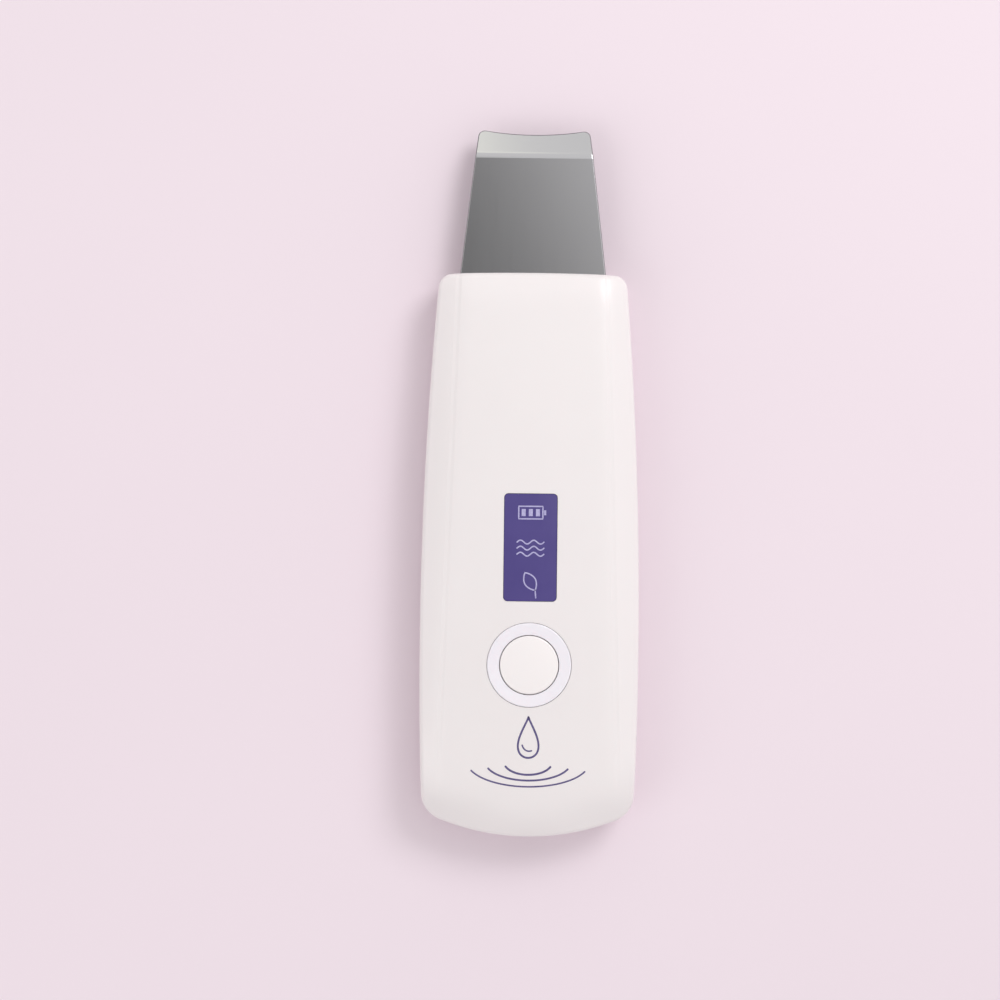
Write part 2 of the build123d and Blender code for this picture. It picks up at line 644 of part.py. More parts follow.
def make_display_light_box():
    """The walled reflector that keeps each lit icon apart."""
    box = slab(LIGHT_BOX_WIDTH, LIGHT_BOX_Y, (BOARD_Z[1], LIGHT_BOX_TOP_Z), 0.8)
    half = LIGHT_BOX_WIDTH / 2 - 1.0
    reach = LIGHT_PITCH / 2 - LIGHT_BOX_RIB
    for y in LIGHT_ROWS:
        box -= span_box((-half, half), (y - reach, y + reach), (BOARD_Z[1] - 1, SKY))
    return box


def make_display_film():
    """The diffusing sheet that lies on the reflector."""
    film_y = (LIGHT_BOX_Y[0] + 0.1, LIGHT_BOX_Y[1] - 0.1)
    film_z = (LIGHT_BOX_TOP_Z, LIGHT_BOX_TOP_Z + FILM_THICK)
    return slab(LIGHT_BOX_WIDTH - 0.2, film_y, film_z, 0.8)


def make_display_leds():
    z = (BOARD_Z[1], BOARD_Z[1] + 0.7)
    return joined([span_box((-0.8, 0.8), (y - 0.6, y + 0.6), z) for y in LIGHT_ROWS])


def make_ring_leds():
    leds = []
    for n in range(6):
        led = span_box((-0.8, 0.8), (-0.4, 0.4), (BOARD_Z[1], BOARD_Z[1] + 0.6))
        leds.append(Pos(0, BUTTON_Y, 0) * Rot(0, 0, 60 * n) * Pos(RING_LED_REACH, 0, 0) * led)
    return joined(leds)


def chip_body(x, y, width, length, height):
    chip = span_box((x - width / 2, x + width / 2), (y - length / 2, y + length / 2),
                    (BOARD_Z[1] + CHIP_LIFT, BOARD_Z[1] + CHIP_LIFT + height))
    return chamfer(chip.edges().group_by(Axis.Z)[-1], 0.15)


def chip_legs(x, y, width, length, count):
    """Two rows of bent legs, beside a chip whose rows run along Y."""
    legs = []
    pitch = length / count
    for side in (-1, 1):
        for n in range(count):
            leg_y = y - length / 2 + pitch * (n + 0.5)
            along = (leg_y - 0.2, leg_y + 0.2)
            near = x + side * width / 2
            knee = sorted((near, near + side * 0.5))
            foot = sorted((near + side * 0.3, near + side * 1.0))
            leg = span_box(knee, along, (BOARD_Z[1] + 0.5, BOARD_Z[1] + 0.7))
            leg += span_box(sorted((near + side * 0.3, near + side * 0.5)), along,
                            (BOARD_Z[1], BOARD_Z[1] + 0.7))
            legs.append(leg + span_box(foot, along, (BOARD_Z[1], BOARD_Z[1] + 0.2)))
    return joined(legs)


def make_transistors():
    return joined([chip_body(x, y, 1.6, 3.0, 1.1) for x, y in TRANSISTOR_SPOTS])


def make_inductor():
    block = chip_body(*INDUCTOR, INDUCTOR_HEIGHT)
    x, y = INDUCTOR[:2]
    return block - upright(1.4, x, y, (BOARD_Z[1] + INDUCTOR_HEIGHT - 0.4, SKY))


def make_transformer_core():
    """An E-shaped ferrite pair round the winding, under the board."""
    core = span_box((-0.9, 7.9), (-12.0, -4.0), (4.0, 8.5))
    for window in ((0.4, 2.3), (4.7, 6.6)):
        core -= span_box(window, (-13.0, -3.0), (5.1, 7.4))
    return core


def make_transformer_winding():
    outer = span_box((0.5, 6.5), (-13.0, -3.0), (5.2, 7.3))
    outer = fillet(outer.edges().filter_by(Axis.Z), 1.2)
    middle_leg = span_box((2.3, 4.7), (-12.0, -4.0), (5.0, 7.5))
    return outer - middle_leg


def blocks_at(spots, size):
    """Plain surface-mounted blocks of one size."""
    stand = (Align.CENTER, Align.CENTER, Align.MIN)
    return joined([Pos(x, y, BOARD_Z[1]) * Box(*size, align=stand) for x, y in spots])


def usb_block(shrink, y):
    """The socket's rounded oblong section, along Y."""
    width, _, height = USB_SIZE
    top = BOARD_Z[0]
    place = Plane(origin=(0, y[0], top - height / 2), x_dir=(-1, 0, 0), z_dir=(0, 1, 0))
    section = RectangleRounded(width - 2 * shrink, height - 2 * shrink, USB_CORNER)
    return extrude(place * section, y[1] - y[0])


def make_usb_shell():
    tube = usb_block(0.0, (USB_FRONT_Y, USB_BACK_Y))
    return tube - usb_block(USB_SHEET, (USB_FRONT_Y - 1, USB_BACK_Y - USB_SHEET))


def make_usb_tongue():
    back_y = USB_BACK_Y - USB_SHEET
    inner_top = BOARD_Z[0] - USB_SHEET
    tongue = span_box((-2.1, 2.1), (USB_FRONT_Y + 0.7, back_y), (inner_top - 1.2, inner_top - 0.6))
    root_z = (BOARD_Z[0] - USB_SIZE[2] + USB_SHEET, inner_top)
    return tongue + span_box((-2.7, 2.7), (back_y - 1.0, back_y), root_z)


def make_usb_contacts():
    z = BOARD_Z[0] - USB_SHEET - 1.2
    y = (USB_FRONT_Y + 0.9, USB_FRONT_Y + 3.6)
    strips = [span_box((x - 0.15, x + 0.15), y, (z - 0.1, z)) for x in (-1.3, -0.65, 0, 0.65, 1.3)]
    return joined(strips)


def make_battery_cell():
    width, length, height = CELL_SIZE
    floor = WALL + TAPE_THICK
    cell = slab(width, (CELL_Y - length / 2, CELL_Y + length / 2), (floor, floor + height), 1.5)
    flat_edges = cell.edges().group_by(Axis.Z)[0] + cell.edges().group_by(Axis.Z)[-1]
    return fillet(flat_edges, 1.0)


def make_battery_tape():
    return slab(26.0, (CELL_Y - 20.0, CELL_Y + 20.0), (WALL, WALL + TAPE_THICK), 1.0)


def make_protection_board():
    edge = CELL_Y + CELL_SIZE[1] / 2
    return slab(12.0, (edge, edge + 3.0), PROTECTION_Z, 0.3)


def lead(points):
    """An insulated wire: straight runs joined by arcs as large as the runs allow."""
    corners = [Vector(*p) for p in points]
    radii = []
    for before, here, after in zip(corners, corners[1:], corners[2:]):
        turn = math.radians((here - before).get_angle(after - here))
        shorter = min((here - before).length, (after - here).length)
        radii.append(0.45 * shorter / math.tan(turn / 2))
    path = FilletPolyline(*corners, radius=radii)
    start = Plane(origin=corners[0], z_dir=corners[1] - corners[0])
    return sweep(start * Circle(WIRE_RADIUS), path=path)


BLADE = make_scrubber_blade()

NODES = {
    "front_shell": make_front_shell(),
    "back_shell": make_back_shell(),
    "shell_screws": make_shell_screws(),
    "screw_plugs": make_screw_plugs(),
    "button_ring": make_button_ring(),
    "power_button": make_power_button(),
    "display_window": make_display_window(),
    "window_tape": make_window_tape(),
    "contact_plate": make_contact_plate(),
    "scrubber_blade": BLADE,
    "blade_seal": make_blade_seal(BLADE),
    "blade_pad_lower": clamp_layer((PAD_UNDER, BLADE_UNDER)),
    "blade_pad_upper": clamp_layer((BLADE_TOP, PAD_TOP)),
    "blade_clamp": clamp_layer((PAD_TOP, BAR_TOP)),
    "clamp_screws": make_clamp_screws(),
    "piezo_disc": upright(DISC_RADIUS, 0, DISC_Y, (DISC_UNDER, DISC_UNDER + DISC_THICK)),
    "piezo_bond": upright(DISC_RADIUS - 0.3, 0, DISC_Y, (BLADE_UNDER - BOND_THICK, BLADE_UNDER)),
    "main_board": make_main_board(),
    "board_screws": make_board_screws(),
    "switch_base": make_switch_base(),
    "switch_cover": make_switch_cover(),
    "switch_plunger": make_switch_plunger(),
    "switch_dome": make_switch_dome(),
    "switch_legs": make_switch_legs(),
    "display_light_box": make_display_light_box(),
    "display_film": make_display_film(),
    "display_leds": make_display_leds(),
    "ring_leds": make_ring_leds(),
    "controller_chip": chip_body(*CONTROLLER, CHIP_HEIGHT),
    "controller_legs": chip_legs(*CONTROLLER, 8),
    "charger_chip": chip_body(*CHARGER, CHIP_HEIGHT),
    "charger_legs": chip_legs(*CHARGER, 4),
    "driver_transistors": make_transistors(),
    "boost_inductor": make_inductor(),
    "transformer_core": make_transformer_core(),
    "transformer_winding": make_transformer_winding(),
    "board_capacitors": blocks_at(CAPACITOR_SPOTS, CAPACITOR_SIZE),
    "board_resistors": blocks_at(RESISTOR_SPOTS, RESISTOR_SIZE),
    "usb_shell": make_usb_shell(),
    "usb_tongue": make_usb_tongue(),
    "usb_contacts": make_usb_contacts(),
    "battery_cell": make_battery_cell(),
    "battery_tape": make_battery_tape(),
    "battery_protection_board": make_protection_board(),
}
for name, points in LEADS.items():
    NODES[name] = lead(points)

os.makedirs("parts", exist_ok=True)
for name, shape in NODES.items():
    export_step(shape, f"parts/{name}.step")
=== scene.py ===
import math

import bmesh
import bpy
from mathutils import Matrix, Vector
from mathutils.bvhtree import BVHTree


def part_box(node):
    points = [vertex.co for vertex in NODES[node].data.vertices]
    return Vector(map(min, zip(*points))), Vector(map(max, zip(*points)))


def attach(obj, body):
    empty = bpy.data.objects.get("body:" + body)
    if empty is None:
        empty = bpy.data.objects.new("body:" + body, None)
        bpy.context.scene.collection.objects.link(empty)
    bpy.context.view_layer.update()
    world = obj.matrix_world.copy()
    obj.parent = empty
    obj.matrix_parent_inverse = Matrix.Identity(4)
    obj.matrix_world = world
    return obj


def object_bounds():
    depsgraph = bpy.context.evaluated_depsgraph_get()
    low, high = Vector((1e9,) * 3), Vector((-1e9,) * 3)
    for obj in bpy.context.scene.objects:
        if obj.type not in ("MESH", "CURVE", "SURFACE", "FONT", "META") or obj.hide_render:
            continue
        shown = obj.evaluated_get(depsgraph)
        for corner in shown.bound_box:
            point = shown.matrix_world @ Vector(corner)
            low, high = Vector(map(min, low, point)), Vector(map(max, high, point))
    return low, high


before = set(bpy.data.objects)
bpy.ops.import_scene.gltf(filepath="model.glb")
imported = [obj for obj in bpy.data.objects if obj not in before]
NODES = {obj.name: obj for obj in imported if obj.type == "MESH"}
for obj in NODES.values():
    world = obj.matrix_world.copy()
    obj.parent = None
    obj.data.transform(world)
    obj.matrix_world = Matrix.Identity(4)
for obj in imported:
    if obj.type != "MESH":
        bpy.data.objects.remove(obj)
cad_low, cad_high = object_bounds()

# Skin scrubber, in metres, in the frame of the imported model: +X right, +Y to the blade tip,
# +Z out of the front face, and Z = 0 on the surface that it lies on.

MM = 0.001
scene = bpy.context.scene


# ---------------------------------------------------------------- materials


def new_material(name):
    """A new material, with its node tree and its principled shader."""
    material = bpy.data.materials.new(name)
    material.use_nodes = True
    tree = material.node_tree
    return material, tree, tree.nodes["Principled BSDF"]


def place(tree, stretch=(1, 1, 1)):
    """Object coordinates in metres, stretched, as the input of a texture."""
    coords = tree.nodes.new("ShaderNodeTexCoord")
    mapping = tree.nodes.new("ShaderNodeMapping")
    mapping.inputs["Scale"].default_value = stretch
    tree.links.new(coords.outputs["Object"], mapping.inputs["Vector"])
    return mapping.outputs["Vector"]


def noise(tree, vector, scale, detail=3.0, rough=0.55):
    """Fractal noise, about 0.3 to 0.7, with features of roughly 1 / scale metres."""
    node = tree.nodes.new("ShaderNodeTexNoise")
    node.inputs["Scale"].default_value = scale
    node.inputs["Detail"].default_value = detail
    node.inputs["Roughness"].default_value = rough
    tree.links.new(vector, node.inputs["Vector"])
    return node.outputs["Fac"]


def spread(tree, value, low, high, start=0.3, end=0.7):
    """A value that goes from start to end, mapped smoothly to low..high."""
    node = tree.nodes.new("ShaderNodeMapRange")
    node.interpolation_type = "SMOOTHSTEP"
    node.inputs["From Min"].default_value = start
    node.inputs["From Max"].default_value = end
    node.inputs["To Min"].default_value = low
    node.inputs["To Max"].default_value = high
    tree.links.new(value, node.inputs["Value"])
    return node.outputs["Result"]


def mixed(tree, factor, *colors):
    """Two colours mixed by a factor; each is three numbers or another node's output."""
    node = tree.nodes.new("ShaderNodeMix")
    node.data_type = "RGBA"
    for name, color in zip("AB", colors):
        if isinstance(color, tuple):
            node.inputs[name].default_value = (*color, 1)
        else:
            tree.links.new(color, node.inputs[name])
    tree.links.new(factor, node.inputs["Factor"])
    return node.outputs["Result"]


def calculate(tree, operation, *values):
    """A math node; each value is a number or another node's output."""
    node = tree.nodes.new("ShaderNodeMath")
    node.operation = operation
    for socket, value in zip(node.inputs, values):
        if isinstance(value, (int, float)):
            socket.default_value = value
        else:
            tree.links.new(value, socket)
    return node.outputs[0]


def axes(tree, vector):
    """The X, Y and Z outputs of a vector."""
    node = tree.nodes.new("ShaderNodeSeparateXYZ")
    tree.links.new(vector, node.inputs[0])
    return node.outputs


def bump(tree, shader, height, distance):
    """Raises the surface by up to a distance in metres where the height is 1."""
    node = tree.nodes.new("ShaderNodeBump")
    node.inputs["Distance"].default_value = distance
    tree.links.new(height, node.inputs["Height"])
    tree.links.new(node.outputs["Normal"], shader.inputs["Normal"])


def shade(color, factor):
    """A colour made darker or lighter by a factor."""
    return tuple(min(1.0, c * factor) for c in color)


def plastic(name, color, rough=0.35, grain=0.004, grain_scale=2600.0, mottle=0.03,
            soft=0.0, coat=0.0):
    """Moulded plastic: a fine spark-eroded grain, faint mottling and handling haze."""
    material, tree, shader = new_material(name)
    where = place(tree)
    haze = noise(tree, where, 130.0, 4.0)
    tint = noise(tree, where, 45.0, 3.0)
    color_link = mixed(tree, spread(tree, tint, 0.0, 1.0), shade(color, 1 - mottle), color)
    tree.links.new(color_link, shader.inputs["Base Color"])
    tree.links.new(spread(tree, haze, rough - 0.02, rough + 0.02, 0.2, 0.8), shader.inputs["Roughness"])
    shader.inputs["IOR"].default_value = 1.5
    shader.inputs["Subsurface Weight"].default_value = soft
    shader.inputs["Subsurface Radius"].default_value = (0.0012, 0.0010, 0.0010)
    shader.inputs["Subsurface Scale"].default_value = 1.0
    shader.inputs["Coat Weight"].default_value = coat
    shader.inputs["Coat Roughness"].default_value = 0.08
    bump(tree, shader, noise(tree, where, grain_scale, 2.0), grain * MM)
    return material


def metal(name, color, rough=0.25, brush=(40.0, 2.0, 40.0), line_depth=0.002, patina=0.06):
    """Worked metal: lines along one axis, with uneven polish and faint discolouring."""
    material, tree, shader = new_material(name)
    lines = noise(tree, place(tree, brush), 260.0, 5.0, 0.65)
    cloud = noise(tree, place(tree), 90.0, 3.0)
    tree.links.new(mixed(tree, cloud, shade(color, 1 - patina), color), shader.inputs["Base Color"])
    shader.inputs["Metallic"].default_value = 1.0
    along_lines = spread(tree, lines, rough - 0.03, rough + 0.05)
    uneven = spread(tree, cloud, -0.02, 0.04)
    tree.links.new(calculate(tree, "ADD", along_lines, uneven), shader.inputs["Roughness"])
    bump(tree, shader, lines, line_depth * MM)
    return material


# Painted shade: a dark colour put on the blade's edge fillets, fading out as their normal turns up to
# face Z.
EDGE_SHADE_COLOR = (0.085, 0.078, 0.090)
EDGE_SHADE_FACING = (0.62, 0.89)


def blade_steel():
    """Satin stainless sheet: even polish, faint long streaks, and painted shade, a dark colour on its
    edge fillets.
    """
    material, tree, shader = new_material("blade_steel")
    streaks = noise(tree, place(tree, (60.0, 1.2, 60.0)), 60.0, 4.0, 0.6)
    haze = noise(tree, place(tree), 40.0, 2.0)
    sheen = mixed(tree, haze, (0.592, 0.592, 0.604), (0.632, 0.634, 0.650))
    coords = tree.nodes.new("ShaderNodeTexCoord")
    facing = calculate(tree, "ABSOLUTE", axes(tree, coords.outputs["Normal"])["Z"])
    # Painted shade: where the normal leans away from Z, on the edge fillets, the colour goes dark.
    flat = spread(tree, facing, 0.0, 1.0, *EDGE_SHADE_FACING)
    tree.links.new(mixed(tree, flat, EDGE_SHADE_COLOR, sheen), shader.inputs["Base Color"])
    shader.inputs["Metallic"].default_value = 1.0
    tree.links.new(spread(tree, streaks, 0.122, 0.138), shader.inputs["Roughness"])
    bump(tree, shader, streaks, 0.0004 * MM)
    return material


def rubbery(name, color, rough=0.7):
    """Silicone, foam or soft vinyl: matt, with dust in its pores."""
    material, tree, shader = new_material(name)
    where = place(tree)
    pores = noise(tree, where, 3200.0, 3.0, 0.7)
    dust = noise(tree, where, 220.0, 4.0)
    tree.links.new(mixed(tree, spread(tree, dust, 0.0, 1.0, 0.4, 0.8), color, shade(color, 1.25)),
                   shader.inputs["Base Color"])
    tree.links.new(spread(tree, pores, rough - 0.1, rough + 0.1), shader.inputs["Roughness"])
    shader.inputs["Specular IOR Level"].default_value = 0.35
    bump(tree, shader, pores, 0.01 * MM)
    return material


def ceramic(name, color, speck, rough=0.55):
    """Sintered ceramic: a matt body with a fine speckle."""
    material, tree, shader = new_material(name)
    where = place(tree)
    specks = noise(tree, where, 4200.0, 2.0)
    tree.links.new(mixed(tree, spread(tree, specks, 0.0, 1.0, 0.5, 0.65), color, speck),
                   shader.inputs["Base Color"])
    tree.links.new(spread(tree, specks, rough - 0.1, rough + 0.1), shader.inputs["Roughness"])
    bump(tree, shader, specks, 0.006 * MM)
    return material


def circuit_board(name):
    """Green solder mask with copper tracks faintly raised under it."""
    material, tree, shader = new_material(name)
    tracks = tree.nodes.new("ShaderNodeTexVoronoi")
    tracks.distance = "MANHATTAN"
    tracks.feature = "DISTANCE_TO_EDGE"
    tracks.inputs["Scale"].default_value = 420.0
    tree.links.new(place(tree, (1.0, 0.6, 1.0)), tracks.inputs["Vector"])
    line = spread(tree, tracks.outputs["Distance"], 1.0, 0.0, 0.08, 0.13)
    tree.links.new(mixed(tree, line, (0.010, 0.085, 0.030), (0.022, 0.150, 0.055)),
                   shader.inputs["Base Color"])
    weave = noise(tree, place(tree), 900.0, 2.0)
    tree.links.new(spread(tree, weave, 0.28, 0.42), shader.inputs["Roughness"])
    bump(tree, shader, line, 0.03 * MM)
    return material


def shell_plastic(name):
    """The housing: warm white glossy plastic with a soft scatter and a thin clear finish."""
    return plastic(name, (0.870, 0.823, 0.825), 0.34, grain=0.0025, grain_scale=2400.0,
                   mottle=0.012, soft=0.08, coat=0.15)


# Each crease runs along |X| + CREASE_SPREAD * Y = CREASE_X and fades out towards the lower end.
CREASE_X = 18.10 * MM
CREASE_SPREAD = 0.0308
CREASE_HALF = 0.75 * MM
CREASE_DEPTH = 0.10 * MM
CREASE_FADE_Y = (-72.0 * MM, -56.0 * MM)


def creased_shell_plastic():
    """The front shell's plastic, with a fine channel pressed along each of its two creases."""
    material = shell_plastic("shell_white_front")
    tree = material.node_tree
    shader = tree.nodes["Principled BSDF"]
    where = axes(tree, place(tree))
    side = calculate(tree, "ABSOLUTE", where["X"])
    across = calculate(tree, "MULTIPLY_ADD", where["Y"], CREASE_SPREAD, side)
    distance = calculate(tree, "ABSOLUTE", calculate(tree, "SUBTRACT", across, CREASE_X))
    groove = spread(tree, distance, 0.0, 1.0, CREASE_HALF, 0.0)
    fade = spread(tree, where["Y"], 0.0, 1.0, *CREASE_FADE_Y)
    grain = shader.inputs["Normal"].links[0].from_socket
    pressed = tree.nodes.new("ShaderNodeBump")
    pressed.invert = True
    pressed.inputs["Distance"].default_value = CREASE_DEPTH
    tree.links.new(calculate(tree, "MULTIPLY", groove, fade), pressed.inputs["Height"])
    tree.links.new(grain, pressed.inputs["Normal"])
    tree.links.new(pressed.outputs["Normal"], shader.inputs["Normal"])
    return material


def ring_plastic():
    """The light ring: a milky lavender white that lets some light in."""
    return plastic("ring_milky", (0.935, 0.890, 0.955), 0.22, grain=0.0015, grain_scale=2400.0,
                   mottle=0.015, soft=0.25, coat=0.3)


def button_plastic():
    """The button cap: the housing's plastic, a shade lighter."""
    return plastic("button_white", (0.940, 0.892, 0.890), 0.30, grain=0.002, mottle=0.004,
                   soft=0.08, coat=0.15)


def window_acrylic():
    """Tinted acrylic: a deep violet under a clear polished face with faint wipe marks."""
    material, tree, shader = new_material("window_violet")
    where = place(tree)
    depth = noise(tree, where, 120.0, 3.0)
    tree.links.new(mixed(tree, depth, (0.078, 0.060, 0.225), (0.100, 0.078, 0.265)),
                   shader.inputs["Base Color"])
    wipes = noise(tree, place(tree, (30.0, 3.0, 30.0)), 60.0, 4.0)
    tree.links.new(spread(tree, wipes, 0.10, 0.18), shader.inputs["Roughness"])
    shader.inputs["Coat Weight"].default_value = 0.6
    shader.inputs["Coat Roughness"].default_value = 0.04
    bump(tree, shader, wipes, 0.0008 * MM)
    return material


def print_ink():
    """Pad-printed violet ink: satin, a little thinner in places."""
    material, tree, shader = new_material("print_ink")
    where = place(tree)
    thin = noise(tree, where, 1500.0, 3.0)
    tree.links.new(mixed(tree, spread(tree, thin, 0.0, 1.0), (0.090, 0.072, 0.195),
                         (0.128, 0.104, 0.250)), shader.inputs["Base Color"])
    tree.links.new(spread(tree, thin, 0.38, 0.55), shader.inputs["Roughness"])
    bump(tree, shader, noise(tree, where, 3000.0, 2.0), 0.004 * MM)
    return material


def icon_ink():
    """Pale screen-printed symbols on the window."""
    material, tree, shader = new_material("icon_ink")
    thin = noise(tree, place(tree), 1800.0, 3.0)
    tree.links.new(mixed(tree, spread(tree, thin, 0.0, 1.0), (0.40, 0.37, 0.62),
                         (0.50, 0.47, 0.72)), shader.inputs["Base Color"])
    tree.links.new(spread(tree, thin, 0.3, 0.5), shader.inputs["Roughness"])
    return material


SCREW_STEEL = metal("screw_steel", (0.55, 0.55, 0.56), 0.3)
BRIGHT_TIN = metal("bright_tin", (0.72, 0.72, 0.70), 0.22)
GOLD = metal("contact_gold", (0.80, 0.56, 0.22), 0.2)
BLACK_RESIN = plastic("chip_resin", (0.022, 0.022, 0.024), 0.55, grain=0.006, grain_scale=3200.0,
                      mottle=0.2)
FERRITE = ceramic("ferrite", (0.055, 0.055, 0.060), (0.11, 0.11, 0.11))
FOAM = rubbery("foam_grey", (0.10, 0.10, 0.105), 0.85)

MATERIALS = {
    "front_shell": creased_shell_plastic(),
    "back_shell": shell_plastic("shell_white_back"),
    "button_ring": ring_plastic(),
    "power_button": button_plastic(),
    "display_window": window_acrylic(),
    "screw_plugs": rubbery("plug_white", (0.76, 0.71, 0.71), 0.55),
    "contact_plate": metal("plate_steel", (0.60, 0.595, 0.59), 0.26, brush=(60.0, 1.5, 60.0),
                           line_depth=0.0015, patina=0.05),
    "scrubber_blade": blade_steel(),
    "blade_seal": rubbery("seal_grey", (0.24, 0.235, 0.235), 0.6),
    "blade_pad_lower": rubbery("pad_clear_lower", (0.55, 0.55, 0.53), 0.5),
    "blade_pad_upper": rubbery("pad_clear_upper", (0.55, 0.55, 0.53), 0.5),
    "blade_clamp": plastic("clamp_nylon", (0.030, 0.030, 0.033), 0.6, grain=0.008,
                           grain_scale=1800.0, mottle=0.2),
    "clamp_screws": SCREW_STEEL,
    "shell_screws": SCREW_STEEL,
    "board_screws": SCREW_STEEL,
    "piezo_disc": ceramic("piezo_silvered", (0.50, 0.49, 0.46), (0.62, 0.61, 0.58), 0.4),
    "piezo_bond": plastic("epoxy", (0.50, 0.40, 0.20), 0.25, grain_scale=900.0, mottle=0.15),
    "main_board": circuit_board("board_mask"),
    "battery_protection_board": circuit_board("small_board_mask"),
    "switch_base": BLACK_RESIN,
    "switch_cover": SCREW_STEEL,
    "switch_plunger": BLACK_RESIN,
    "switch_dome": BRIGHT_TIN,
    "switch_legs": BRIGHT_TIN,
    "display_light_box": plastic("reflector_white", (0.80, 0.80, 0.80), 0.5),
    "display_film": plastic("diffuser_film", (0.72, 0.72, 0.76), 0.6),
    "display_leds": plastic("led_lens_display", (0.78, 0.74, 0.35), 0.2, soft=0.2),
    "ring_leds": plastic("led_lens_ring", (0.78, 0.74, 0.35), 0.2, soft=0.2),
    "controller_chip": BLACK_RESIN,
    "charger_chip": BLACK_RESIN,
    "driver_transistors": BLACK_RESIN,
    "controller_legs": BRIGHT_TIN,
    "charger_legs": BRIGHT_TIN,
    "boost_inductor": FERRITE,
    "transformer_core": FERRITE,
    "transformer_winding": metal("copper_wire", (0.62, 0.24, 0.10), 0.3,
                                 brush=(2.0, 60.0, 60.0), line_depth=0.02),
    "board_capacitors": ceramic("capacitor_tan", (0.30, 0.19, 0.10), (0.36, 0.24, 0.13)),
    "board_resistors": ceramic("resistor_black", (0.02, 0.02, 0.022), (0.05, 0.05, 0.05)),
    "usb_shell": metal("port_steel", (0.60, 0.60, 0.60), 0.28),
    "usb_tongue": BLACK_RESIN,
    "usb_contacts": GOLD,
    "battery_cell": metal("cell_foil", (0.66, 0.67, 0.69), 0.35, brush=(6.0, 6.0, 6.0),
                          line_depth=0.02, patina=0.1),
    "battery_tape": FOAM,
    "window_tape": FOAM,
    "battery_lead_red": rubbery("lead_red", (0.42, 0.012, 0.010), 0.4),
    "battery_lead_black": rubbery("lead_black", (0.014, 0.014, 0.015), 0.4),
    "transducer_lead_red": rubbery("lead_red_thin", (0.42, 0.012, 0.010), 0.4),
    "transducer_lead_black": rubbery("lead_black_thin", (0.014, 0.014, 0.015), 0.4),
    "contact_lead": rubbery("lead_white", (0.62, 0.62, 0.62), 0.4),
}


def dress_frame():
    """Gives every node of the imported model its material."""
    for name, node in NODES.items():
        node.data.materials.clear()
        node.data.materials.append(MATERIALS[name])


# ---------------------------------------------------------------- mesh helpers


def add_piece(name, verts, faces, material, body):
    """A new mesh piece that rides on a body."""
    mesh = bpy.data.meshes.new(name)
    mesh.from_pydata(verts, [], faces)
    mesh.validate()
    work = bmesh.new()
    work.from_mesh(mesh)
    bmesh.ops.remove_doubles(work, verts=work.verts, dist=1e-7)
    bmesh.ops.recalc_face_normals(work, faces=work.faces)
    work.to_mesh(mesh)
    work.free()
    mesh.materials.append(material)
    piece = bpy.data.objects.new(name, mesh)
    scene.collection.objects.link(piece)
    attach(piece, body)
    return piece


RAY_START = 0.1


def surface_finder(node):
    """A function that gives the height of a node's top surface at (x, y)."""
    tree = BVHTree.FromObject(NODES[node], bpy.context.evaluated_depsgraph_get())

    def height(x, y):
        hit = tree.ray_cast(Vector((x, y, RAY_START)), Vector((0, 0, -1)))[0]
        return hit.z
    return height


# Ink stands PRINT_RISE proud of the surface, and its underside is PRINT_SINK into it.
PRINT_RISE = 0.018 * MM
PRINT_SINK = 0.03 * MM
CAP_ANGLES = [math.radians(a) for a in (82, 60, 38, 18)]


def sections(points, width, closed, round_ends):
    """Cross-sections of a line as (x, y, side x, side y), with half circles at round ends."""
    count = len(points)
    found = []
    for i, (x, y) in enumerate(points):
        before = points[i - 1] if (closed or i > 0) else points[i]
        after = points[(i + 1) % count] if (closed or i < count - 1) else points[i]
        dx, dy = after[0] - before[0], after[1] - before[1]
        size = math.hypot(dx, dy)
        found.append((x, y, -dy / size, dx / size))
    half = width / 2
    body = [(x, y, nx * half, ny * half) for x, y, nx, ny in found]
    if closed or not round_ends:
        return body
    start, end = found[0], found[-1]
    front, back = [], []
    for a in CAP_ANGLES:
        reach, narrow = half * math.sin(a), half * math.cos(a)
        x, y, nx, ny = start
        front.append((x - ny * reach, y + nx * reach, nx * narrow, ny * narrow))
        x, y, nx, ny = end
        back.append((x + ny * reach, y - nx * reach, nx * narrow, ny * narrow))
    return front + body + back[::-1]


def stroke(points, width, height, closed=False, round_ends=True):
    """A printed line of even width that lies on a surface, as (verts, faces)."""
    line = sections(points, width, closed, round_ends)
    count = len(line)
    verts = []
    for side in (1, -1):
        for x, y, nx, ny in line:
            px, py = x + side * nx, y + side * ny
            z = height(px, py)
            verts += [(px, py, z + PRINT_RISE), (px, py, z - PRINT_SINK)]
    offset = 2 * count
    faces = []
    last = count if closed else count - 1
    for i in range(last):
        a, b = 2 * i, 2 * ((i + 1) % count)
        c, d = a + offset, b + offset
        faces += [(a, b, d, c), (a + 1, c + 1, d + 1, b + 1), (a, a + 1, b + 1, b),
                  (c, d, d + 1, c + 1)]
    if not closed:
        end = 2 * (count - 1)
        faces += [(0, offset, offset + 1, 1), (end, end + 1, end + offset + 1, end + offset)]
    return verts, faces


def merged(parts):
    """Several (verts, faces) as one."""
    verts, faces = [], []
    for part_verts, part_faces in parts:
        base = len(verts)
        verts += part_verts
        faces += [tuple(i + base for i in face) for face in part_faces]
    return verts, faces


# ---------------------------------------------------------------- printed motif


def arc_points(cx, cy, rx, ry, start, end, steps):
    """Part of an ellipse, from one angle to another in degrees."""
    points = []
    for i in range(steps + 1):
        a = math.radians(start + (end - start) * i / steps)
        points.append((cx + rx * math.cos(a), cy + ry * math.sin(a)))
    return points


def droplet_points(cx, cy, radius, tall, steps=60):
    """A droplet outline, pointed at the top."""
    points = []
    for i in range(steps):
        t = 2 * math.pi * i / steps
        x = radius * math.sin(t) * math.sin(t / 2) ** 1.5
        y = tall / 2 * math.cos(t)
        points.append((cx + x, cy + y))
    return points


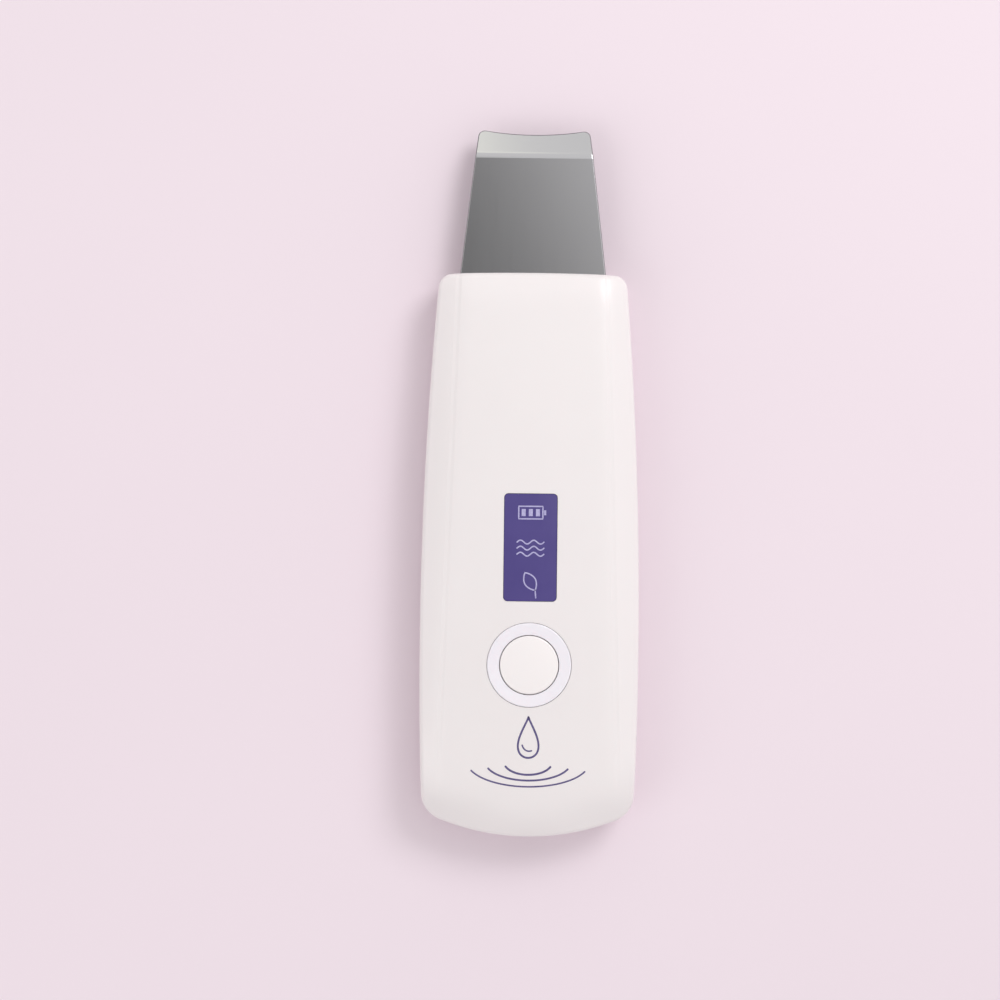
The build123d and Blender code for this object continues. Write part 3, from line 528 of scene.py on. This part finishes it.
def box_points(x_span, y_span, steps=8):
    """A rectangle's outline with points along its sides."""
    corners = [(x_span[0], y_span[0]), (x_span[1], y_span[0]),
               (x_span[1], y_span[1]), (x_span[0], y_span[1])]
    points = []
    for i, (x, y) in enumerate(corners):
        nx, ny = corners[(i + 1) % 4]
        points += [(x + (nx - x) * s / steps, y + (ny - y) * s / steps) for s in range(steps)]
    return points


def line_points(start, end, steps=6):
    """A straight line with points along it."""
    points = []
    for i in range(steps + 1):
        t = i / steps
        points.append((start[0] + (end[0] - start[0]) * t, start[1] + (end[1] - start[1]) * t))
    return points


MOTIF_TOP = -52.5 * MM
DROP_TALL = 9.2 * MM
DROP_RADIUS = 3.3 * MM
DROP_LINE = 0.44 * MM
SHINE_DOWN = 1.3 * MM
SHINE_ASIDE = 0.2 * MM
SHINE_RADII = (1.6 * MM, 1.8 * MM)
SHINE_ANGLES = (195, 290)
SHINE_LINE = 0.34 * MM
RIPPLE_GAP = 0.9 * MM
RIPPLE_ANGLES = (202, 338)
# Each ripple's half width, depth and line, in millimetres.
RIPPLES = ((5.4, 2.9, 0.46), (9.6, 4.2, 0.42), (13.7, 5.6, 0.36))


def make_motif():
    """A droplet over spreading ripples, in violet ink below the button."""
    height = surface_finder("front_shell")
    middle = MOTIF_TOP - DROP_TALL / 2
    drop = droplet_points(0.0, middle, DROP_RADIUS, DROP_TALL)
    shine = arc_points(SHINE_ASIDE, middle - SHINE_DOWN, *SHINE_RADII, *SHINE_ANGLES, 14)
    parts = [stroke(drop, DROP_LINE, height, closed=True), stroke(shine, SHINE_LINE, height)]
    ripple_y = MOTIF_TOP - DROP_TALL - RIPPLE_GAP
    for half, deep, width in RIPPLES:
        sweep = arc_points(0.0, ripple_y, half * MM, deep * MM, *RIPPLE_ANGLES, 56)
        parts.append(stroke(sweep, width * MM, height))
    verts, faces = merged(parts)
    return add_piece("printed_motif", verts, faces, print_ink(), "housing")


# ---------------------------------------------------------------- window symbols


WINDOW_FLANGE = 1.2 * MM
ICON_LINE = 0.30 * MM

BATTERY_DOWN = 4.2 * MM
BATTERY_HALF_WIDE = 2.7 * MM
BATTERY_HALF_TALL = 1.4 * MM
KNOB_X = 3.2 * MM
KNOB_HALF_TALL = 0.55 * MM
KNOB_LINE = 0.5 * MM
BAR_STEP = 1.6 * MM
BAR_HALF_TALL = 0.8 * MM
BAR_LINE = 0.9 * MM

WAVE_HALF = 3.0 * MM
WAVE_TALL = 0.42 * MM
WAVE_TURN = 2.1 / MM
WAVE_STEP = 1.35 * MM
WAVE_UP = 1.2 * MM

LEAF_UP = 4.4 * MM
LEAF_HALF_LONG = 2.3 * MM
LEAF_HALF_WIDE = 1.25 * MM
LEAF_ALONG = (-0.5, 0.85)
LEAF_ACROSS = (0.9, 0.5)
STEM_TOP = (1.15 * MM, -1.95 * MM)
STEM_FOOT = (1.3 * MM, 0.75 * MM)


def battery_icon(y, height):
    """An outlined cell with a knob at its right end and three charge bars."""
    case = box_points((-BATTERY_HALF_WIDE, BATTERY_HALF_WIDE),
                      (y - BATTERY_HALF_TALL, y + BATTERY_HALF_TALL))
    knob = line_points((KNOB_X, y - KNOB_HALF_TALL), (KNOB_X, y + KNOB_HALF_TALL))
    parts = [stroke(case, ICON_LINE, height, closed=True),
             stroke(knob, KNOB_LINE, height, round_ends=False)]
    for x in (-BAR_STEP, 0.0, BAR_STEP):
        bar = line_points((x, y - BAR_HALF_TALL), (x, y + BAR_HALF_TALL))
        parts.append(stroke(bar, BAR_LINE, height, round_ends=False))
    return parts


def waves_icon(y, height, steps=40):
    """Three waves, one below the other."""
    parts = []
    for n in range(3):
        wave = []
        for s in range(steps + 1):
            x = WAVE_HALF * (2 * s / steps - 1)
            wave.append((x, y + WAVE_TALL * math.sin(WAVE_TURN * x) - WAVE_STEP * n))
        parts.append(stroke(wave, ICON_LINE, height))
    return parts


def leaf_icon(y, foot_y, height, steps=16):
    """A leaning leaf, and a stem that ends near the window's lower edge."""
    parts = []
    for side in (-1, 1):
        edge = []
        for s in range(steps + 1):
            t = s / steps
            along = LEAF_HALF_LONG * (1 - 2 * t)
            across = side * LEAF_HALF_WIDE * math.sin(math.pi * t) ** 0.8
            edge.append((LEAF_ALONG[0] * along + LEAF_ACROSS[0] * across,
                         y + LEAF_ALONG[1] * along + LEAF_ACROSS[1] * across))
        parts.append(stroke(edge, ICON_LINE, height))
    stem = line_points((STEM_TOP[0], y + STEM_TOP[1]), (STEM_FOOT[0], foot_y + STEM_FOOT[1]))
    parts.append(stroke(stem, ICON_LINE, height))
    return parts


def make_icons():
    """Pale symbols on the window: a battery, waves, and a leaf whose stem turns down."""
    height = surface_finder("display_window")
    low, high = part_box("display_window")
    lens_low = low.y + WINDOW_FLANGE
    lens_high = high.y - WINDOW_FLANGE
    parts = battery_icon(lens_high - BATTERY_DOWN, height)
    parts += waves_icon((lens_low + lens_high) / 2 + WAVE_UP, height)
    parts += leaf_icon(lens_low + LEAF_UP, lens_low, height)
    verts, faces = merged(parts)
    return add_piece("window_icons", verts, faces, icon_ink(), "housing")


# ---------------------------------------------------------------- studio


FLOOR_HALF = 3.0


def make_floor():
    """A plain pale floor under the object."""
    mesh = bpy.data.meshes.new("floor")
    corners = [(x * FLOOR_HALF, y * FLOOR_HALF, 0) for x, y in ((-1, -1), (1, -1), (1, 1), (-1, 1))]
    mesh.from_pydata(corners, [], [(0, 1, 2, 3)])
    material, tree, shader = new_material("floor_pale")
    tone = noise(tree, place(tree), 6.0, 2.0)
    tree.links.new(mixed(tree, tone, (0.838, 0.728, 0.792), (0.872, 0.760, 0.824)),
                   shader.inputs["Base Color"])
    tree.links.new(spread(tree, tone, 0.6, 0.7), shader.inputs["Roughness"])
    mesh.materials.append(material)
    floor = bpy.data.objects.new("floor", mesh)
    scene.collection.objects.link(floor)


# Each light's name, place, aim, size, power and colour.
LIGHTS = (
    ("key", (0.38, 0.44, 0.62), (0, 0.02, 0), (0.36, 0.36), 2.42, (1, 1, 1)),
    ("fill", (-0.5, -0.3, 0.5), (0, 0, 0), (0.5, 0.7), 0.95, (1, 1, 1)),
    ("tip_panel", (-0.18, 0.75, 0.52), (0, 0.07, 0), (0.36, 0.3), 0.14, (1.0, 1.0, 0.76)),
)


def add_light(name, where, aim, size, power, color):
    """A soft rectangular light that the camera doesn't see."""
    data = bpy.data.lights.new(name, "AREA")
    data.energy = power
    data.color = color
    data.shape = "RECTANGLE"
    data.size, data.size_y = size
    light = bpy.data.objects.new(name, data)
    light.location = where
    light.rotation_euler = (Vector(aim) - Vector(where)).to_track_quat("-Z", "Y").to_euler()
    light.visible_camera = False
    scene.collection.objects.link(light)


# The dome dims from DOME_BRIGHT to nothing as a direction's Z goes through DOME_EDGE. The glow
# grows from GLOW_DIM to GLOW_BRIGHT as X + GLOW_LEAN * Y goes through GLOW_EDGE.
DOME_BRIGHT = 0.72
DOME_EDGE = (0.80, 0.97)
GLOW_DIM = 0.17
GLOW_BRIGHT = 0.84
GLOW_LEAN = 0.5
GLOW_EDGE = (0.030, 0.128)


def make_world():
    """Even pale surroundings, dark straight overhead, with a broad glow towards the upper right."""
    world = bpy.data.worlds.new("studio")
    scene.world = world
    world.use_nodes = True
    tree = world.node_tree
    coords = tree.nodes.new("ShaderNodeTexCoord")
    toward = axes(tree, coords.outputs["Generated"])
    dome = spread(tree, toward["Z"], DOME_BRIGHT, 0.0, *DOME_EDGE)
    slant = calculate(tree, "MULTIPLY_ADD", toward["Y"], GLOW_LEAN, toward["X"])
    glow = spread(tree, slant, GLOW_DIM, GLOW_BRIGHT, *GLOW_EDGE)
    background = tree.nodes["Background"]
    tree.links.new(calculate(tree, "MAXIMUM", dome, glow), background.inputs["Strength"])
    background.inputs["Color"].default_value = (1.0, 0.985, 0.985, 1)


# The frame takes in FRAME_SPAN at AIM_HEIGHT, and the object's middle lies right of and above its own.
FRAME_SPAN = 226.4 * MM
LENS = 100.0
SENSOR = 36.0
AIM_HEIGHT = 9.0 * MM
OBJECT_RIGHT = 6.97 * MM
OBJECT_UP = 3.98 * MM
ROLL = math.radians(0.65)


def make_camera():
    """Looks straight down on the front, with the object a little right of and above the middle."""
    data = bpy.data.cameras.new("camera")
    data.lens = LENS
    data.sensor_width = SENSOR
    data.clip_start = 0.01
    data.clip_end = 20.0
    camera = bpy.data.objects.new("camera", data)
    centre = (cad_low + cad_high) / 2
    right = Vector((math.cos(ROLL), math.sin(ROLL), 0))
    up = Vector((-math.sin(ROLL), math.cos(ROLL), 0))
    spot = Vector((centre.x, centre.y, 0)) - right * OBJECT_RIGHT - up * OBJECT_UP
    camera.location = (spot.x, spot.y, AIM_HEIGHT + FRAME_SPAN * LENS / SENSOR)
    camera.rotation_euler = (0, 0, ROLL)
    scene.collection.objects.link(camera)
    scene.camera = camera


def make_studio():
    """Floor, surroundings, lights and camera."""
    scene.view_settings.view_transform = "Standard"
    make_floor()
    make_world()
    for light in LIGHTS:
        add_light(*light)
    make_camera()


dress_frame()
make_motif()
make_icons()
make_studio()
